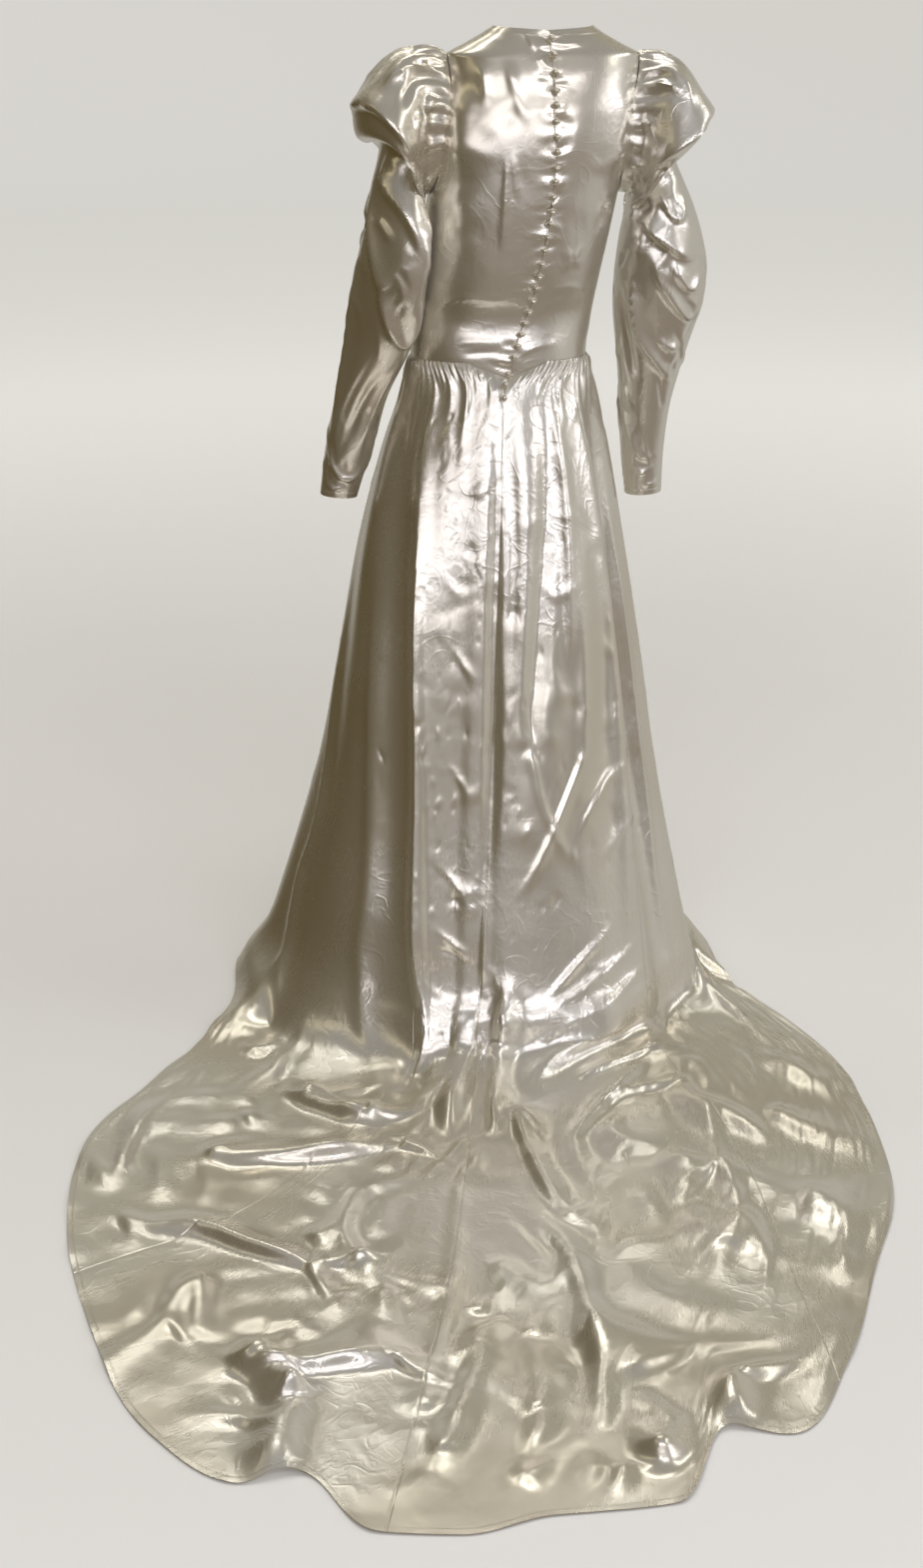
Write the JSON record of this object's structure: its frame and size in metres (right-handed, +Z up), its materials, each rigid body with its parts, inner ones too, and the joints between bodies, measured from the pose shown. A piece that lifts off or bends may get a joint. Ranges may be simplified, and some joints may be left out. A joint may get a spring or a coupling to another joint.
{
  "type": "long-sleeved gown with train",
  "caption": "Floor-length gown as worn: high neck, gathered puffed long sleeves, bodice buttoned down the back, gathered skirt and a long rounded train.",
  "frame": {"origin": "between the shoulder seams, where the wearer holds the gown up, 1.50 m above the floor that the train lies on", "axes": "+Z up, front of the gown faces -Y, train lies towards +Y, the wearer's left is +X"},
  "size_m": [1.2047, 1.8029, 1.5537],
  "materials": {
    "satin": "heavy liquid satin, ivory, high sheen, softly creased",
    "button_satin": "ball buttons covered in the same satin"
  },
  "bodies": {
    "root": {"bodice_front": "satin", "bodice_back_left": "satin", "bodice_back_right": "satin", "sleeve_left": "satin", "sleeve_right": "satin", "skirt_front": "satin", "skirt_side_left": "satin", "skirt_side_right": "satin", "skirt_back_left": "satin", "skirt_back_right": "satin", "button_loops": "satin", "button_01": "button_satin", "button_02": "button_satin", "button_03": "button_satin", "button_04": "button_satin", "button_05": "button_satin", "button_06": "button_satin", "button_07": "button_satin", "button_08": "button_satin", "button_09": "button_satin", "button_10": "button_satin", "button_11": "button_satin", "button_12": "button_satin", "button_13": "button_satin", "button_14": "button_satin", "button_15": "button_satin", "button_16": "button_satin", "button_17": "button_satin", "button_18": "button_satin", "button_19": "button_satin", "button_20": "button_satin", "button_21": "button_satin", "button_22": "button_satin", "button_23": "button_satin", "button_24": "button_satin", "button_25": "button_satin", "button_26": "button_satin", "button_27": "button_satin"}
  },
  "joints": []
}
